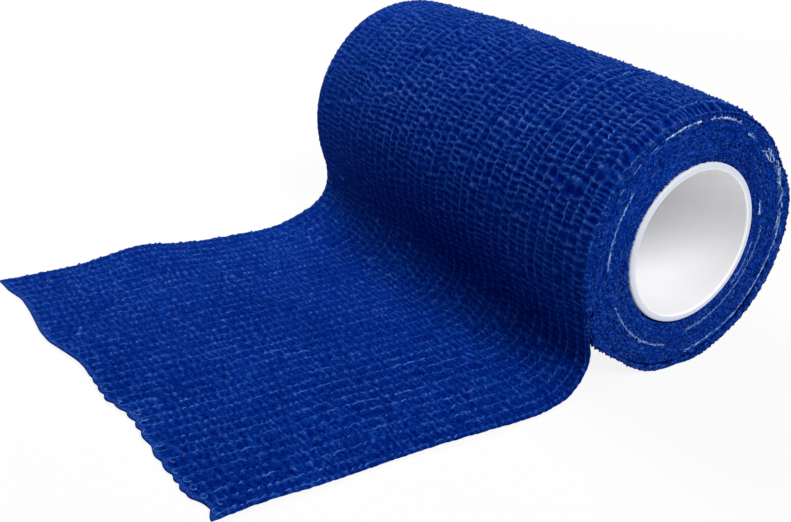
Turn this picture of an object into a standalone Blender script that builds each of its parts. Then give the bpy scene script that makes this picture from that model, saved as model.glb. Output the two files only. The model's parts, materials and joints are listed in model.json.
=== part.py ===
"""A roll of self-gripping elastic hand wrap on its white tube core, partly unrolled.

The roll lies on the floor with its axis along X. The wrap comes over the top of the roll, leaves it at the
front and runs along the floor towards -Y to a cut end. The origin is on the floor, under the roll's axis.
Sizes are in metres.
"""

import math

import bpy

# The wrap
WRAP_WIDTH = 0.100
WRAP_THICKNESS = 0.0005
TURN_GAP = 0.00044
TURN_POINTS = 36

# The roll and the core that it is wound on
ROLL_DIAMETER = 0.054
FOOT_DEPTH = 0.0005
PACK_CLEARANCE = 0.0004
CORE_DIAMETER = 0.0325
CORE_WALL = 0.0015
CORE_RIM_ROUND = 0.0004
CORE_CLEARANCE = 0.00035
CORE_SIDES = 64

# Where the wrap leaves the roll and turns on to the floor
LEAVE_ANGLE = math.radians(20)
OUTER_TURN_OPENING = math.radians(30)
BEND_RADIUS = 0.0074
FLOOR_RUN = 0.008

# The free tail
TAIL_LENGTH = 0.0535
TAIL_END_LENGTH = 0.012
TAIL_JOINT_GAP = 0.0003
CUT_SKEW = 0.006
CUT_WAVE = 0.0007
CUT_WAVES = 3.5
CUT_POINTS = 28

# Follows from the sizes above
FULL_TURN = math.tau
FLOOR_LEVEL = WRAP_THICKNESS / 2
AXIS_HEIGHT = ROLL_DIAMETER / 2 - FOOT_DEPTH
OUTER_TURN_RADIUS = (ROLL_DIAMETER - WRAP_THICKNESS) / 2
PACK_RADIUS = AXIS_HEIGHT - WRAP_THICKNESS - PACK_CLEARANCE
FIRST_TURN_RADIUS = CORE_DIAMETER / 2 + CORE_CLEARANCE + WRAP_THICKNESS / 2
LAST_TURN_RADIUS = PACK_RADIUS - WRAP_THICKNESS / 2
TURN_PITCH = WRAP_THICKNESS + TURN_GAP

# A flat drawing turned so that its X is the world's Y, its Y the world's Z and its depth the world's X
END_VIEW = (math.pi / 2, 0, math.pi / 2)
TUBE_ALONG_X = (0, math.pi / 2, 0)

BLUE_WRAP = ((0.004, 0.032, 0.240), 0.85)
WHITE_CORE = ((0.86, 0.86, 0.89), 0.45)


def clear_scene():
    for obj in list(bpy.data.objects):
        bpy.data.objects.remove(obj, do_unlink=True)


def finish(name, look):
    colour, roughness = look
    material = bpy.data.materials.new(name)
    material.use_nodes = True
    shader = material.node_tree.nodes["Principled BSDF"]
    shader.inputs["Base Color"].default_value = (*colour, 1)
    shader.inputs["Roughness"].default_value = roughness
    shader.inputs["Metallic"].default_value = 0
    return material


def add_part(name, data, look, collection, parent=None):
    """A sub-part with a material of its own, hung on the empty or the part that carries it."""
    part = bpy.data.objects.new(name, data)
    data.materials.append(finish(name + "_finish", look))
    collection.objects.link(part)
    part.parent = parent
    return part


def add_axis(name, location, collection):
    """An empty on a joint's axis, which carries what turns about it."""
    axis = bpy.data.objects.new(name, None)
    axis.empty_display_size = CORE_DIAMETER / 4
    axis.location = location
    collection.objects.link(axis)
    return axis


def arc(centre, radius, start, end, turn_points):
    """Points on an arc from one angle to another, its ends included."""
    steps = max(1, math.ceil(abs(end - start) / FULL_TURN * turn_points))
    angles = [start + (end - start) * i / steps for i in range(steps + 1)]
    return [(centre[0] + radius * math.cos(a), centre[1] + radius * math.sin(a)) for a in angles]


def spiral(first_radius, last_radius, pitch, turn_points):
    """Points on a flat spiral that grows by one pitch in each turn."""
    turns = (last_radius - first_radius) / pitch
    steps = math.floor(turns * turn_points)
    points = []
    for i in range(steps + 1):
        radius = first_radius + pitch * i / turn_points
        angle = FULL_TURN * i / turn_points
        points.append((radius * math.cos(angle), radius * math.sin(angle)))
    return points


def distance_to_segment(point, start, end):
    along = (end[0] - start[0], end[1] - start[1])
    reach = (point[0] - start[0], point[1] - start[1])
    share = (reach[0] * along[0] + reach[1] * along[1]) / (along[0] ** 2 + along[1] ** 2)
    share = min(1, max(0, share))
    return math.hypot(reach[0] - share * along[0], reach[1] - share * along[1])


def least_gap(path, turn_points, thickness):
    """The least open distance between a wound strip and itself, measured on the points of its path."""
    nearest = math.inf
    for i, point in enumerate(path):
        for k in range(i + turn_points // 2, len(path) - 1):
            nearest = min(nearest, distance_to_segment(point, path[k], path[k + 1]))
    return nearest - thickness


def outer_turn_path():
    """The outermost turn round the roll, its flat foot, and the bend that takes it down to the floor.

    It is drawn about the roll's axis. Angles grow from the back of the roll over its top.
    """
    floor = FLOOR_LEVEL - AXIS_HEIGHT
    leave = math.pi + LEAVE_ANGLE
    foot_half_angle = math.acos(-floor / OUTER_TURN_RADIUS)
    foot_front = -math.pi / 2 - foot_half_angle
    foot_back = -math.pi / 2 + foot_half_angle
    inner_end = leave + OUTER_TURN_OPENING - FULL_TURN
    under = arc((0, 0), OUTER_TURN_RADIUS, inner_end, foot_front, TURN_POINTS)
    over = arc((0, 0), OUTER_TURN_RADIUS, foot_back, leave, TURN_POINTS)

    bend_top = floor + BEND_RADIUS * (1 + math.sin(LEAVE_ANGLE))
    straight = (over[-1][1] - bend_top) / math.cos(LEAVE_ANGLE)
    bend_start = over[-1][0] + straight * math.sin(LEAVE_ANGLE)
    centre = (bend_start - BEND_RADIUS * math.cos(LEAVE_ANGLE), floor + BEND_RADIUS)
    bend = arc(centre, BEND_RADIUS, LEAVE_ANGLE, -math.pi / 2, TURN_POINTS)
    floor_end = (centre[0] - FLOOR_RUN, floor)
    return under + over + bend + [floor_end]


def strip_on_edge(name, path, collection, parent):
    """A strip whose path is drawn in the end view, drawn out to the wrap's width and given its thickness."""
    curve = bpy.data.curves.new(name, "CURVE")
    curve.dimensions = "2D"
    curve.extrude = WRAP_WIDTH / 2
    spline = curve.splines.new("POLY")
    spline.points.add(len(path) - 1)
    for point, (y, z) in zip(spline.points, path):
        point.co = (y, z, 0, 1)
    strip = add_part(name, curve, BLUE_WRAP, collection, parent)
    strip.rotation_euler = END_VIEW
    wall = strip.modifiers.new("thickness", "SOLIDIFY")
    wall.thickness = WRAP_THICKNESS
    wall.offset = 0
    wall.use_even_offset = True
    return strip


def flat_strip(name, outline, collection, parent):
    """A flat stretch of the wrap, cut to an outline."""
    curve = bpy.data.curves.new(name, "CURVE")
    curve.dimensions = "2D"
    curve.fill_mode = "BOTH"
    curve.extrude = WRAP_THICKNESS / 2
    spline = curve.splines.new("POLY")
    spline.points.add(len(outline) - 1)
    for point, (x, y) in zip(spline.points, outline):
        point.co = (x, y, 0, 1)
    spline.use_cyclic_u = True
    return add_part(name, curve, BLUE_WRAP, collection, parent)


def cut_end_outline():
    """The last stretch of the tail: square where it joins the tail, askew and wavy where it was cut."""
    half = WRAP_WIDTH / 2
    outline = [(half, -TAIL_JOINT_GAP), (-half, -TAIL_JOINT_GAP)]
    for i in range(CUT_POINTS + 1):
        across = i / CUT_POINTS
        wave = CUT_WAVE * math.sin(FULL_TURN * CUT_WAVES * across)
        length = TAIL_END_LENGTH + CUT_SKEW * (0.5 - across) + wave
        outline.append((WRAP_WIDTH * across - half, -length))
    return outline


def core_tube(collection, parent):
    """A plain tube, as long as the wrap is wide, with slightly rounded rims."""
    outer = CORE_DIAMETER / 2
    inner = outer - CORE_WALL
    half = WRAP_WIDTH / 2
    section = [(outer, 0, half), (outer, 0, -half), (inner, 0, -half), (inner, 0, half)]
    mesh = bpy.data.meshes.new("core_tube")
    mesh.from_pydata(section, [(0, 1), (1, 2), (2, 3), (3, 0)], [])
    tube = add_part("core_tube", mesh, WHITE_CORE, collection, parent)
    tube.rotation_euler = TUBE_ALONG_X
    turned = tube.modifiers.new("turned", "SCREW")
    turned.steps = CORE_SIDES
    turned.render_steps = CORE_SIDES
    turned.use_merge_vertices = True
    turned.merge_threshold = 0.00001
    rims = tube.modifiers.new("rims", "BEVEL")
    rims.width = CORE_RIM_ROUND
    rims.segments = 2
    rims.limit_method = "ANGLE"
    rims.angle_limit = math.radians(60)
    return tube


def main():
    clear_scene()
    wrap = bpy.data.collections.new("hand_wrap")
    bpy.context.scene.collection.children.link(wrap)

    roll_axis = add_axis("roll_axis", (0, 0, AXIS_HEIGHT), wrap)
    outer_path = outer_turn_path()
    strip_on_edge("outer_turn", outer_path, wrap, roll_axis)

    turns_path = spiral(FIRST_TURN_RADIUS, LAST_TURN_RADIUS, TURN_PITCH, TURN_POINTS)
    strip_on_edge("wound_turns", turns_path, wrap, roll_axis)
    core_tube(wrap, roll_axis)

    hinge_y = outer_path[-1][0]
    tail_hinge = add_axis("tail_hinge", (0, hinge_y, WRAP_THICKNESS), wrap)
    half = WRAP_WIDTH / 2
    tail_outline = [
        (half, -TAIL_JOINT_GAP),
        (-half, -TAIL_JOINT_GAP),
        (-half, -TAIL_LENGTH),
        (half, -TAIL_LENGTH),
    ]
    tail = flat_strip("tail", tail_outline, wrap, tail_hinge)
    tail.location.z = -WRAP_THICKNESS / 2
    tail_end = flat_strip("tail_end", cut_end_outline(), wrap, tail)
    tail_end.location.y = -TAIL_LENGTH

    gap = least_gap(turns_path, TURN_POINTS, WRAP_THICKNESS)
    loops = (len(turns_path) - 1) / TURN_POINTS
    print(f"wound_turns: {loops:.1f} loops, least gap to itself {gap * 1000:.3f} mm")
    print(f"roll axis {AXIS_HEIGHT:.5f} m above the floor, tail hinge at y {hinge_y:.5f} m")


main()
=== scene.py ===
# %% [markdown]
# # A roll of elastic hand wrap
# The object is one long strip of stretchy crepe, wound on a white tube and partly drawn off on to the
# table. This lesson dresses a set of plain solids with the real look: a crinkled cloth with elastic yarns
# in it, the imported edges of the wound turns, and a smooth white core. The solids stay where they are.
# Most finished pieces are tied to the solid's body that carries them, so they still move when the joints
# do;
# the front and the tail of the wrap are tied to none.

# %% Load the solids
import json
import math

import bpy
import numpy as np
from mathutils import Matrix, Vector


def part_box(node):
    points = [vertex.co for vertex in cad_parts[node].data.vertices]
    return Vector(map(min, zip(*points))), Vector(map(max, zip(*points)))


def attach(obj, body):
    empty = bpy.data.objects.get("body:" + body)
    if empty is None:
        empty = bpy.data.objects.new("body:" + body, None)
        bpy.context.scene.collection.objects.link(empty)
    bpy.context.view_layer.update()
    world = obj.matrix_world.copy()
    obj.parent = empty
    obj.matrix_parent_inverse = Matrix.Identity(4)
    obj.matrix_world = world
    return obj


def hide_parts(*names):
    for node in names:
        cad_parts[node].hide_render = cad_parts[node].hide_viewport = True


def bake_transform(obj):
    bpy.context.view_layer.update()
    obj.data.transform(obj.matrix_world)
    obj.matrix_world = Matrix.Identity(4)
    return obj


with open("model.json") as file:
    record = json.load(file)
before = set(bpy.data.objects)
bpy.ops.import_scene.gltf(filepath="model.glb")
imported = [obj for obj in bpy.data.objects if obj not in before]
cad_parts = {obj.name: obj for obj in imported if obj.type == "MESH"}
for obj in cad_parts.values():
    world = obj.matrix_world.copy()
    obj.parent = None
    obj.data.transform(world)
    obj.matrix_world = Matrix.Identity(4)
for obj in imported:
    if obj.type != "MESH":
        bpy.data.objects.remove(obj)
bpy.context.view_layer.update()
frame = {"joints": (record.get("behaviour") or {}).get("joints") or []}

# %% [markdown]
# ## Measures
# Everything that follows is placed from the solids themselves: the roll's axis, the line about which the
# tail lifts, the roll's outside and the core's. Only what the solids don't hold, such as the pitch of the
# yarns, is written here as a size. Blender works in metres, so a millimetre gets a name.

# %% Measures from the frame
MM = 0.001
joints = {joint["name"]: joint for joint in frame["joints"]}
AXIS_HEIGHT = joints["roll_turn"]["pos_m"][2]
HINGE_Y = joints["tail_lift"]["pos_m"][1]
HALF_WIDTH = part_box("outer_turn")[1][0]
ROLL_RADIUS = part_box("outer_turn")[1][1]
CORE_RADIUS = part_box("core_tube")[1][1]
CORE_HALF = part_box("core_tube")[1][0]
PACK_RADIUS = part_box("wound_turns")[1][1]
print(f"radius of the roll {ROLL_RADIUS / MM:.1f} mm, of the core {CORE_RADIUS / MM:.2f} mm")

# %% [markdown]
# ## The camera
# The view was worked out from the photograph by fitting a camera to the outline of the roll, its core and
# the edges of the tail. It stands to the right of the tail, a little above the roll, and leans by a few
# degrees.

# %% Camera
PHOTO_WIDTH = 791
SENSOR_WIDTH = 36
VIEW_TARGET = Vector((0.0067, -0.0392, 0.0137))
VIEW_AZIMUTH = math.radians(56.01)
VIEW_ELEVATION = math.radians(24.2)
VIEW_LEAN = math.radians(2.8)
VIEW_DISTANCE = 0.2216
FOCAL_PIXELS = 1066.7

towards_camera = Vector((
    math.sin(VIEW_AZIMUTH) * math.cos(VIEW_ELEVATION),
    -math.cos(VIEW_AZIMUTH) * math.cos(VIEW_ELEVATION),
    math.sin(VIEW_ELEVATION),
))
level_right = Vector((math.cos(VIEW_AZIMUTH), math.sin(VIEW_AZIMUTH), 0))
level_up = towards_camera.cross(level_right)
right = level_right * math.cos(VIEW_LEAN) + level_up * math.sin(VIEW_LEAN)
up = level_up * math.cos(VIEW_LEAN) - level_right * math.sin(VIEW_LEAN)

scene = bpy.context.scene
camera_data = bpy.data.cameras.new("camera")
camera_data.sensor_width = SENSOR_WIDTH
camera_data.lens = SENSOR_WIDTH * FOCAL_PIXELS / PHOTO_WIDTH
camera_data.clip_start = 10 * MM
camera = bpy.data.objects.new("camera", camera_data)
turn = Matrix((right, up, towards_camera)).transposed().to_4x4()
camera.matrix_world = Matrix.Translation(VIEW_TARGET + towards_camera * VIEW_DISTANCE) @ turn
scene.collection.objects.link(camera)
scene.camera = camera
print(f"lens {camera_data.lens:.2f} mm")

# %% [markdown]
# ## Light and floor
# A product picture has soft light from all round: a pale sky dome and two broad lamps, one beyond each
# end of the roll. The right one also lights the near end and the inside of the core. The floor is plain
# and pale. To the camera, and in reflections, most of its white comes from itself and not from the lamps,
# so that the background is even, but it still takes a faint shadow. Sky, floor and every finish below are
# node trees, so two helpers come first: one adds a node, and one gives inputs their values or links them
# to other nodes.

# %% Node helpers
def fill(tree, node, inputs):
    """Give each input a value, or link it to the output of another node."""
    for socket, value in inputs.items():
        if isinstance(value, bpy.types.NodeSocket):
            tree.links.new(value, node.inputs[socket])
        else:
            node.inputs[socket].default_value = value


def add(tree, kind, inputs=None, **settings):
    """A new node, with its settings made before its inputs are filled."""
    node = tree.nodes.new(kind)
    for name, value in settings.items():
        setattr(node, name, value)
    fill(tree, node, inputs or {})
    return node


def new_finish(name):
    """A new material, its node tree and the plain shader in it."""
    material = bpy.data.materials.new(name)
    material.use_nodes = True
    return material, material.node_tree, material.node_tree.nodes["Principled BSDF"]


def rays_that_see(tree):
    """1 for rays from the camera and for those that a glossy or clear surface sends on, else 0."""
    path = add(tree, "ShaderNodeLightPath").outputs
    seen = path["Is Camera Ray"]
    for kind in ("Is Glossy Ray", "Is Transmission Ray"):
        seen = add(tree, "ShaderNodeMath", {0: seen, 1: path[kind]}, operation="MAXIMUM").outputs[0]
    return seen


# %% Sky and lamps
WHITE = (1, 1, 1, 1)
SKY_STRENGTH = 0.08
LIT_MIDDLE = Vector((0, -0.03, 0.02))


def plain_light_world():
    """A dim white sky for the object, and a full white one behind it."""
    world = bpy.data.worlds.new("soft_sky")
    world.use_nodes = True
    tree = world.node_tree
    sky = tree.nodes["Background"]
    fill(tree, sky, {"Color": WHITE, "Strength": SKY_STRENGTH})
    backdrop = add(tree, "ShaderNodeBackground", {"Color": WHITE}).outputs[0]
    mixed = {"Fac": rays_that_see(tree), 1: sky.outputs[0], 2: backdrop}
    seen = add(tree, "ShaderNodeMixShader", mixed).outputs[0]
    fill(tree, tree.nodes["World Output"], {"Surface": seen})
    return world


def softbox(name, place, size, power):
    """A round lamp turned to the roll, with its size in metres and its power in watts."""
    lamp = bpy.data.lights.new(name, "AREA")
    lamp.shape = "DISK"
    lamp.size = size
    lamp.energy = power
    box = bpy.data.objects.new(name, lamp)
    box.location = place
    box.rotation_euler = (LIT_MIDDLE - Vector(place)).to_track_quat("-Z", "Y").to_euler()
    scene.collection.objects.link(box)


scene.view_settings.view_transform = "Standard"
scene.world = plain_light_world()
softbox("right_softbox", (0.70, -0.08, 0.64), 0.54, 7.5)
softbox("left_softbox", (-0.25, -0.02, 0.25), 0.2, 0.92)

# %% Floor
FLOOR_SIDE = 12
FLOOR_DROP = 0.1 * MM
FLOOR_GREY = (0.9, 0.9, 0.9, 1)
OWN_WHITE = {"From Min": 0.1, "From Max": 0.4, "To Min": 0.88, "To Max": 1.0}


def floor_finish():
    """Matt and pale. The share of its own white grows with the distance from the object."""
    material, tree, shader = new_finish("pale_floor")
    fill(tree, shader, {"Base Color": FLOOR_GREY, "Roughness": 0.9, "Specular IOR Level": 0.1})
    place = add(tree, "ShaderNodeTexCoord").outputs["Object"]
    reach = add(tree, "ShaderNodeVectorMath", {0: place}, operation="LENGTH").outputs["Value"]
    own = add(tree, "ShaderNodeMapRange", {"Value": reach, **OWN_WHITE}, interpolation_type="SMOOTHSTEP")
    shares = {0: rays_that_see(tree), 1: own.outputs["Result"]}
    share = add(tree, "ShaderNodeMath", shares, operation="MULTIPLY").outputs[0]
    white = add(tree, "ShaderNodeEmission").outputs[0]
    mixed = add(tree, "ShaderNodeMixShader", {"Fac": share, 1: shader.outputs[0], 2: white}).outputs[0]
    fill(tree, tree.nodes["Material Output"], {"Surface": mixed})
    return material


bpy.ops.mesh.primitive_plane_add(size=FLOOR_SIDE)
floor = bpy.context.object
floor.name = "floor"
floor.location.z = -FLOOR_DROP
floor.data.materials.append(floor_finish())
print(f"floor {FLOOR_SIDE} m wide, {FLOOR_DROP / MM:.1f} mm under the object")

# %% [markdown]
# ## Random, but the same each time
# Cloth is never even. A table of random numbers, read with smooth steps between its entries, gives values
# that wander slowly. The seed fixes the table, so every run makes the same wrap. Most slow changes on the
# wrap are a soft step from 0 to 1 somewhere along or across it, so that gets a helper too.

# %% A soft step and a smooth wander
TABLE_SIDE = 256


def smooth(t):
    t = np.clip(t, 0, 1)
    return t * t * (3 - 2 * t)


def rise(value, start, width):
    """0 up to start and 1 past start + width, both in millimetres, with a soft step between."""
    return smooth((value - start * MM) / (width * MM))


def fall(value, end, width):
    """1 up to end - width and 0 past end, both in millimetres, with a soft step between."""
    return smooth((end * MM - value) / (width * MM))


def wander(a, b, seed):
    """Values from -1 to 1 that change smoothly from one whole number to the next, in two directions."""
    table = np.random.default_rng(seed).uniform(-1, 1, (TABLE_SIDE, TABLE_SIDE))
    a, b = np.broadcast_arrays(a, b)
    row, column = np.floor(a).astype(int), np.floor(b).astype(int)
    along, across = smooth(a - row), smooth(b - column)

    def entry(step_a, step_b):
        return table[(row + step_a) % TABLE_SIDE, (column + step_b) % TABLE_SIDE]

    low = entry(0, 0) + (entry(1, 0) - entry(0, 0)) * along
    high = entry(0, 1) + (entry(1, 1) - entry(0, 1)) * along
    return low + (high - low) * across


def drift(a, b, step_a, step_b, seed):
    """A wander over a surface, with a new value every few millimetres each way."""
    return wander(a / (step_a * MM), b / (step_b * MM), seed)


print("wander at a few places:", np.round(wander(np.array([0.2, 3.7]), 1.5, 1), 3))

# %% [markdown]
# ## The way that the wrap takes
# The strip comes over the top of the roll, down its front, leaves it below the middle, runs straight for
# a moment and turns out on to the table. One formula gives that line for any distance along the strip,
# counted from the top of the roll. The bend is tighter at the near edge than at the far one, as it is in
# the photograph, so its radius and the angle at which the strip leaves change from edge to edge.

# %% Leaving the roll
PATH_RADIUS = ROLL_RADIUS - 0.1 * MM
FLOOR_LEVEL = 0.45 * MM
LEAVE_NEAR, LEAVE_FAR = math.radians(17), math.radians(22)
BEND_NEAR, BEND_FAR = 6.6 * MM, 10.8 * MM


def bend_at(x):
    """The leaving angle, the bend's radius and the straight run before it, at a place across the strip."""
    near = x / (2 * HALF_WIDTH) + 0.5
    leave = LEAVE_FAR + (LEAVE_NEAR - LEAVE_FAR) * near
    bend = BEND_FAR + (BEND_NEAR - BEND_FAR) * near
    bend_top = FLOOR_LEVEL - AXIS_HEIGHT + bend * (1 + np.sin(leave))
    straight = (-PATH_RADIUS * np.sin(leave) - bend_top) / np.cos(leave)
    return leave, bend, straight


def floor_start(x):
    """How far along the strip it meets the floor, and at which y."""
    leave, bend, straight = bend_at(x)
    along = PATH_RADIUS * (math.pi / 2 + leave) + straight + bend * (math.pi / 2 + leave)
    y = -PATH_RADIUS * np.cos(leave) + straight * np.sin(leave) - bend * np.cos(leave)
    return along, y


def along_at(x, y):
    """How far along the strip a place on the floor is."""
    start, start_y = floor_start(x)
    return start + start_y - y


meets_floor = floor_start(np.array([-HALF_WIDTH, HALF_WIDTH]))[1]
print("the strip meets the floor at y", np.round(meets_floor / MM, 1), "mm")


# %% The path of the strip
def strip_path(s, x):
    """Y, Z and the outward direction of the strip's middle, s metres past the roll's top."""
    s, x = np.broadcast_arrays(s, x)
    leave, bend, straight = bend_at(x)
    angle = math.pi / 2 + np.minimum(s / PATH_RADIUS, math.pi / 2 + leave)
    y = PATH_RADIUS * np.cos(angle)
    z = AXIS_HEIGHT + PATH_RADIUS * np.sin(angle)
    beyond = np.maximum(s - PATH_RADIUS * (math.pi / 2 + leave), 0)
    run = np.minimum(beyond, straight)
    y = y + run * np.sin(leave)
    z = z - run * np.cos(leave)
    turned = np.clip((beyond - straight) / bend, 0, math.pi / 2 + leave)
    heading = leave - turned
    y = y + bend * (np.cos(heading) - np.cos(leave))
    z = z + bend * (np.sin(heading) - np.sin(leave))
    y = y - np.maximum(beyond - straight - bend * (math.pi / 2 + leave), 0)
    facing = np.where(beyond > 0, math.pi + heading, angle)
    return y, z, np.cos(facing), np.sin(facing)


path_y, path_z = strip_path(np.array([0, 50, 100]) * MM, 0.0)[:2]
print("the path at 0, 50 and 100 mm: y", np.round(path_y / MM, 1), "z", np.round(path_z / MM, 1))

# %% [markdown]
# ## Crinkles
# The wrap is a thin web gathered on elastic yarns. The yarns run along the strip, about 2.7 mm apart.
# Between them the web puckers into short ridges across the strip, some 1.5 mm apart where it is pulled
# round the roll and closer on the slack tail. Ridges and yarns make a net of pale lines with dark pits in
# it. A bump map alone would leave the outline smooth, so the net is real shape: narrow ridges whose
# places wander from cell to cell, and a lower line along every yarn.

# %% Yarns and stretches of the wrap
YARNS = 37
SELVEDGE = 0.8 * MM
YARN_PITCH = 2 * (HALF_WIDTH - SELVEDGE) / (YARNS - 1)
YARN_PLACES = -HALF_WIDTH + SELVEDGE + YARN_PITCH * np.arange(YARNS)


def slackness(s):
    """0 on the roll, 1 on the tail."""
    return rise(s, 40, 35)


def in_valley(s):
    """1 where the strip leaves the roll and turns on to the table, 0 elsewhere."""
    return rise(s, 30, 12) * fall(s, 72, 12)


def near_tail(s, x):
    """1 at the near edge of the tail, 0 at its far edge and on the roll."""
    return slackness(s) * rise(x, -15, 50)


def far_roll(s, x):
    """1 at the far edge of the roll, 0 from its middle on and on the tail."""
    return rise(-x, 10, 40) * (1 - slackness(s))


def yarn_stray(s, index):
    """How far a yarn lies to the side of its place."""
    quick = 0.16 * MM * wander(s / (1.1 * MM), index * 3.0, 41)
    slow = 0.2 * MM * wander(s / (6 * MM), index * 5.0, 42)
    return quick + slow


print(f"{YARNS} yarns {YARN_PITCH / MM:.2f} mm apart")

# %% Ridges between the yarns
ROLL_PITCH = 1.5 * MM
TAIL_PITCH = 1.42 * MM
RIDGE_WIDTH = 0.32 * MM


def ridge_pitch(s):
    return ROLL_PITCH + (TAIL_PITCH - ROLL_PITCH) * slackness(s)


COUNT_STEPS = np.linspace(-0.14, 0.2, 3401)
RIDGES_SO_FAR = np.concatenate([[0], np.cumsum(np.diff(COUNT_STEPS) / ridge_pitch(COUNT_STEPS[1:]))])


def ridge_phase(s, x):
    """Counts the ridges along the strip, a crest at every half. Each cell between two yarns differs."""
    cell = np.floor((x - YARN_PLACES[0]) / YARN_PITCH)
    slow = 0.42 * drift(s, x, 7, 5, 11)
    by_cell = 0.9 * wander(s / (4.5 * MM), cell * 3.0, 12)
    fine = (0.16 + 0.1 * slackness(s)) * drift(s, x, 1.1, 0.9, 13)
    return np.interp(s, COUNT_STEPS, RIDGES_SO_FAR) + slow + by_cell + fine


def ridge_height(s, x):
    """The ridges alone, from 0 in a pit to about 1 on a crest."""
    phase = ridge_phase(s, x)
    to_ridge = np.abs(phase - np.floor(phase) - 0.5) * ridge_pitch(s)
    uneven = drift(s, x, 1.1, 1.0, 14) * (1 + 0.5 * slackness(s))
    width = RIDGE_WIDTH * (1 + 0.2 * smooth(-x / HALF_WIDTH) + 0.1 * slackness(s))
    return (0.78 + 0.4 * uneven) * np.exp(-(to_ridge / width) ** 2)


print(f"{RIDGES_SO_FAR[-1]:.0f} ridges in {np.ptp(COUNT_STEPS) / MM:.0f} mm of strip")

# %% The crinkle of the crepe
CRINKLE = 0.4 * MM
PIT_LEVEL = 0.38
YARN_LEVEL = 0.6
YARN_WIDTH = 0.42 * MM


def crest_level(s, x):
    """The net of ridges and yarns, from about 0 in a pit to about 1 on a crest."""
    index = np.round((x - YARN_PLACES[0]) / YARN_PITCH)
    to_yarn = x - YARN_PLACES[0] - index * YARN_PITCH - yarn_stray(s, index)
    on_yarn = np.exp(-(to_yarn / YARN_WIDTH) ** 2)
    broken = 0.75 + 0.45 * wander(s / (1.0 * MM), index * 7.0, 16)
    slack, near = slackness(s), near_tail(s, x)
    line = YARN_LEVEL * broken * on_yarn * (1 - 0.5 * slack) * (1 - 0.35 * far_roll(s, x))
    ridge = ridge_height(s, x)
    knot = (0.25 + 0.45 * slack - 0.15 * near) * ridge * on_yarn
    grain = 0.18 * drift(s, x, 0.4, 0.45, 15)
    return np.maximum(ridge * (0.9 - 0.42 * slack), line) + knot + grain * (1 + 0.5 * near)


def crinkle_size(s, x):
    """How high the crinkles stand: less down the front, on the tail and at the roll's far rim."""
    down_front = 1 - 0.5 * rise(s, 10, 50)
    far_rim = 1 - 0.6 * rise(-x - HALF_WIDTH, -3, 2.5) * (1 - slackness(s))
    return CRINKLE * down_front * far_rim


def crinkle(s, x):
    """Height above the strip's middle, and a tone from 0 in a dark pit to 1 on a pale crest. The tone
    carries painted light and shade.
    """
    s, x = np.broadcast_arrays(s, x)
    level = crest_level(s, x)
    slack, far_sheen = slackness(s), far_roll(s, x)
    # Painted light and shade in the tone: on the far part of the roll it is lifted and its contrast
    # lowered, as painted sheen, and in the valley, which lies in shade, its contrast is lowered as painted
    # shade.
    contrast = (0.93 - 0.2 * slack) * (1 - 0.3 * far_sheen) * (1 - 0.3 * in_valley(s))
    # Painted light across the tail: the tone rises towards its far edge and falls towards its near edge.
    painted_light_across_tail = 0.035 * slack * x / HALF_WIDTH
    tone = 0.37 + 0.04 * slack + 0.07 * far_sheen - painted_light_across_tail + (level - 0.36) * contrast
    return crinkle_size(s, x) * (level - PIT_LEVEL), np.clip(tone, 0, 1)


sample = np.linspace(-20, 20, 400) * MM
sample_heights = crinkle(sample[:, None], sample[None, :])[0]
print(f"crinkle {np.ptp(sample_heights) / MM:.2f} mm high")

# %% [markdown]
# ## How the wrap lies
# The outermost turn is a little slack over the top of the roll and rounds off at its rims. The tail
# isn't quite flat: its far edge lifts in the middle, and slow ripples run through it. The cut end was
# made by scissors, so it is askew and wavy. These slow shapes go through a few points read from the
# photograph.

# %% The cut end
CUT_X = np.array([-50, -44, -38, -32, -22, -17, -11, -6, -2, 10, 14, 18, 24,
                  32, 38, 42.7, 45, 47, 50]) * MM
CUT_Y = -np.array([106.4, 106, 104.7, 104.8, 105.5, 105.2, 103.7, 102.6, 102.4, 102.6, 101.3, 100.7, 101,
                   101.3, 101, 101.2, 99.4, 99.3, 100.2]) * MM
SCALLOP = 3.9 * MM
SCALLOP_DEPTH = 0.5 * MM


def soft_line(x, xs, ys, blur):
    """A line through a few points, with its corners taken off."""
    spread = np.linspace(-1, 1, 9)[:, None] * blur
    return np.interp(np.ravel(x)[None, :] + spread, xs, ys).mean(axis=0).reshape(np.shape(x))


def cut_line(x):
    """Where the strip was cut: a wavy line, with small scallops along its near half."""
    scallop = np.abs(np.sin(math.pi * x / SCALLOP + 1.5 * wander(x / (6 * MM), 2.0, 26))) - 0.55
    return soft_line(x, CUT_X, CUT_Y, 1.0 * MM) - SCALLOP_DEPTH * scallop * rise(x, -8, 20)


print("the cut at its two edges: y", np.round(cut_line(np.array([-HALF_WIDTH, HALF_WIDTH])) / MM, 1), "mm")

# %% Slack in the outermost turn
BULGE_X = np.array([-50, -35, -18, 0, 20, 35, 45, 50]) * MM
BULGE = np.array([1.3, 1.7, 2.2, 1.5, 1.1, 0.7, -0.1, -0.5]) * MM
SWELL_ANGLES, SWELL = [-60, -30, 10, 30], [0.1, 0.7, 0.6, 0]
KICK_ANGLES = np.array([-158, -156, -152, -148, -145, -140, -135, -126])
KICK = np.array([0.4, 0.8, 1.05, 1.3, 1.45, 1.3, 0.9, 0]) * MM
RIM_ANGLES, RIM_SHARE = [15, 30, 48, 68, 120, 180, 190], [0, 0.8, 3.2, 3.4, 1, 0.9, 0]
FAR_RIM_SHARE = 0.35
RIM_ROUND = 3.5 * MM
RIM_DROP = 1.0 * MM
INNER_END_DROP = 1.05 * MM


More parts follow.
